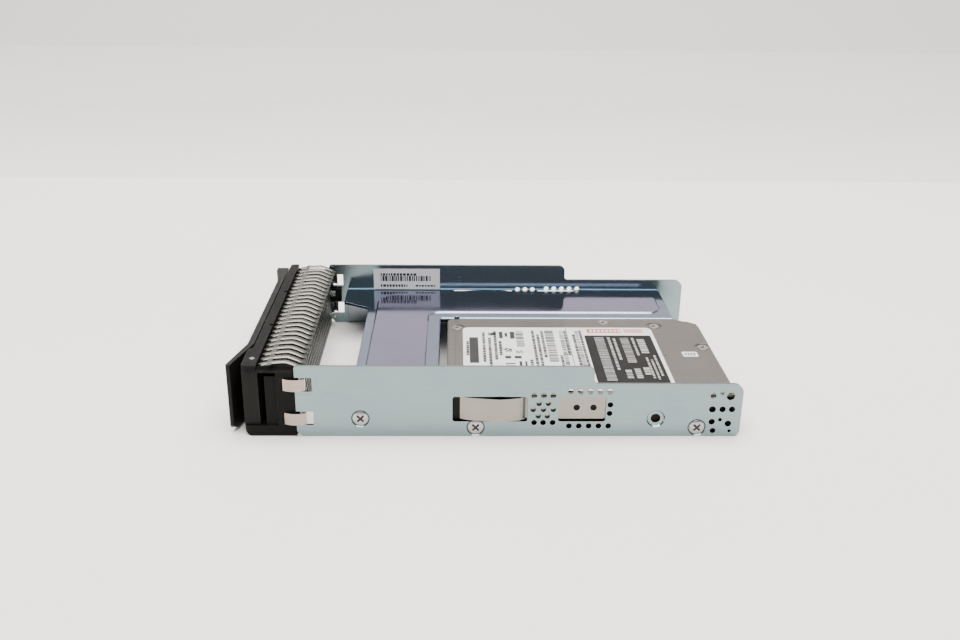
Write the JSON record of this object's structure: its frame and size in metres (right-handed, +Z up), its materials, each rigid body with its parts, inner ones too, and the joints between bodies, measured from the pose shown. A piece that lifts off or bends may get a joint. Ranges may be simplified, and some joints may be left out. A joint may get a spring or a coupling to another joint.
{
  "type": "disk drive in hot-swap tray",
  "caption": "Small enterprise disk drive screwed to an adapter bracket inside a larger hot-swap tray with sheet rails, vented bezel and hinged release lever.",
  "frame": {"origin": "middle of the tray footprint, at the level it stands on", "axes": "+X towards the plug end, -X the bezel, +Z up, -Y the side that the lever hinges on"},
  "size_m": [0.1763, 0.108, 0.0272],
  "materials": {
    "zinc_sheet": "bright zinc-plated sheet",
    "tinted_zinc": "glossy zinc with a blue and purple passivation tint",
    "spring_strip": "bright spring strip",
    "clip_strip": "bright nickel strip",
    "shield_sheet": "dull plated perforated sheet",
    "black_plastic": "satin black moulding",
    "button_plastic": "satin dark grey moulding",
    "bright_steel": "bright steel",
    "spring_wire": "drawn wire",
    "light_guide": "clear moulded plastic",
    "paper_label": "matt white label",
    "dark_film": "satin black film",
    "cast_aluminium": "fine cast and machined",
    "cover_steel": "satin stamped cover",
    "gasket_rubber": "matt rubber",
    "board_laminate": "solder-masked laminate",
    "chip_plastic": "moulded black resin",
    "contact_gold": "gold-plated",
    "disk_mirror": "polished",
    "magnet_nickel": "nickel-plated magnet",
    "winding_copper": "enamelled copper windings",
    "suspension_steel": "thin stainless strip",
    "flex_film": "amber polyimide film",
    "filter_felt": "white fibre"
  },
  "bodies": {
    "tray": {"adapter_bracket": "tinted_zinc", "board_chips": "chip_plastic", "board_screws": "bright_steel", "bracket_screws": "bright_steel", "breather_filter": "filter_felt", "button_spring": "spring_wire", "circuit_board": "board_laminate", "connector_contacts": "contact_gold", "cover_gasket": "gasket_rubber", "cover_screws": "bright_steel", "crash_stop": "gasket_rubber", "dark_label": "dark_film", "drive_base_casting": "cast_aluminium", "drive_mounting_screws": "bright_steel", "drive_top_cover": "cover_steel", "emi_finger_comb": "spring_strip", "emi_shield": "shield_sheet", "far_leaf_spring": "spring_strip", "far_side_clips": "clip_strip", "far_side_rail": "zinc_sheet", "flex_cable": "flex_film", "front_bezel": "black_plastic", "hinge_pin": "bright_steel", "host_connector": "chip_plastic", "lever_torsion_spring": "spring_wire", "light_pipes": "light_guide", "load_ramp": "chip_plastic", "lower_magnet_yoke": "bright_steel", "main_label": "paper_label", "motor_stator": "winding_copper", "near_leaf_spring": "spring_strip", "near_side_clips": "clip_strip", "near_side_rail": "zinc_sheet", "pivot_shaft": "bright_steel", "rail_label": "paper_label", "recirculation_filter": "filter_felt", "small_sticker": "paper_label", "spindle_shaft": "bright_steel", "upper_magnet_yoke": "bright_steel", "voice_coil_magnets": "magnet_nickel"},
    "lever": {"release_lever": "black_plastic"},
    "button": {"release_button": "button_plastic"},
    "spindle": {"spindle_hub": "cast_aluminium", "bearing_sleeve": "bright_steel", "rotor_magnet": "magnet_nickel", "platters": "disk_mirror", "platter_spacers": "bright_steel", "disk_clamp": "bright_steel", "clamp_screws": "bright_steel"},
    "actuator": {"actuator_arm": "cast_aluminium", "pivot_bearing": "bright_steel", "head_suspensions": "suspension_steel", "voice_coil": "winding_copper"}
  },
  "joints": [
    {"name": "lever_hinge", "type": "hinge", "parent": "tray", "child": "lever", "pos_m": [-0.07975, -0.04595, 0.0132], "axis": [0, 0, 1], "range_deg": [0, 50]},
    {"name": "button_slide", "type": "slide", "parent": "tray", "child": "button", "axis": [1, 0, 0], "range_m": [0, 0.002], "stiffness_N_per_m": 400},
    {"name": "spindle_spin", "type": "hinge", "parent": "tray", "child": "spindle", "pos_m": [0.02142, -0.01632, 0.009], "axis": [0, 0, 1], "continuous": true},
    {"name": "actuator_swing", "type": "hinge", "parent": "tray", "child": "actuator", "pos_m": [0.06265, -0.02695, 0.009], "axis": [0, 0, 1], "range_deg": [0, 32]}
  ]
}
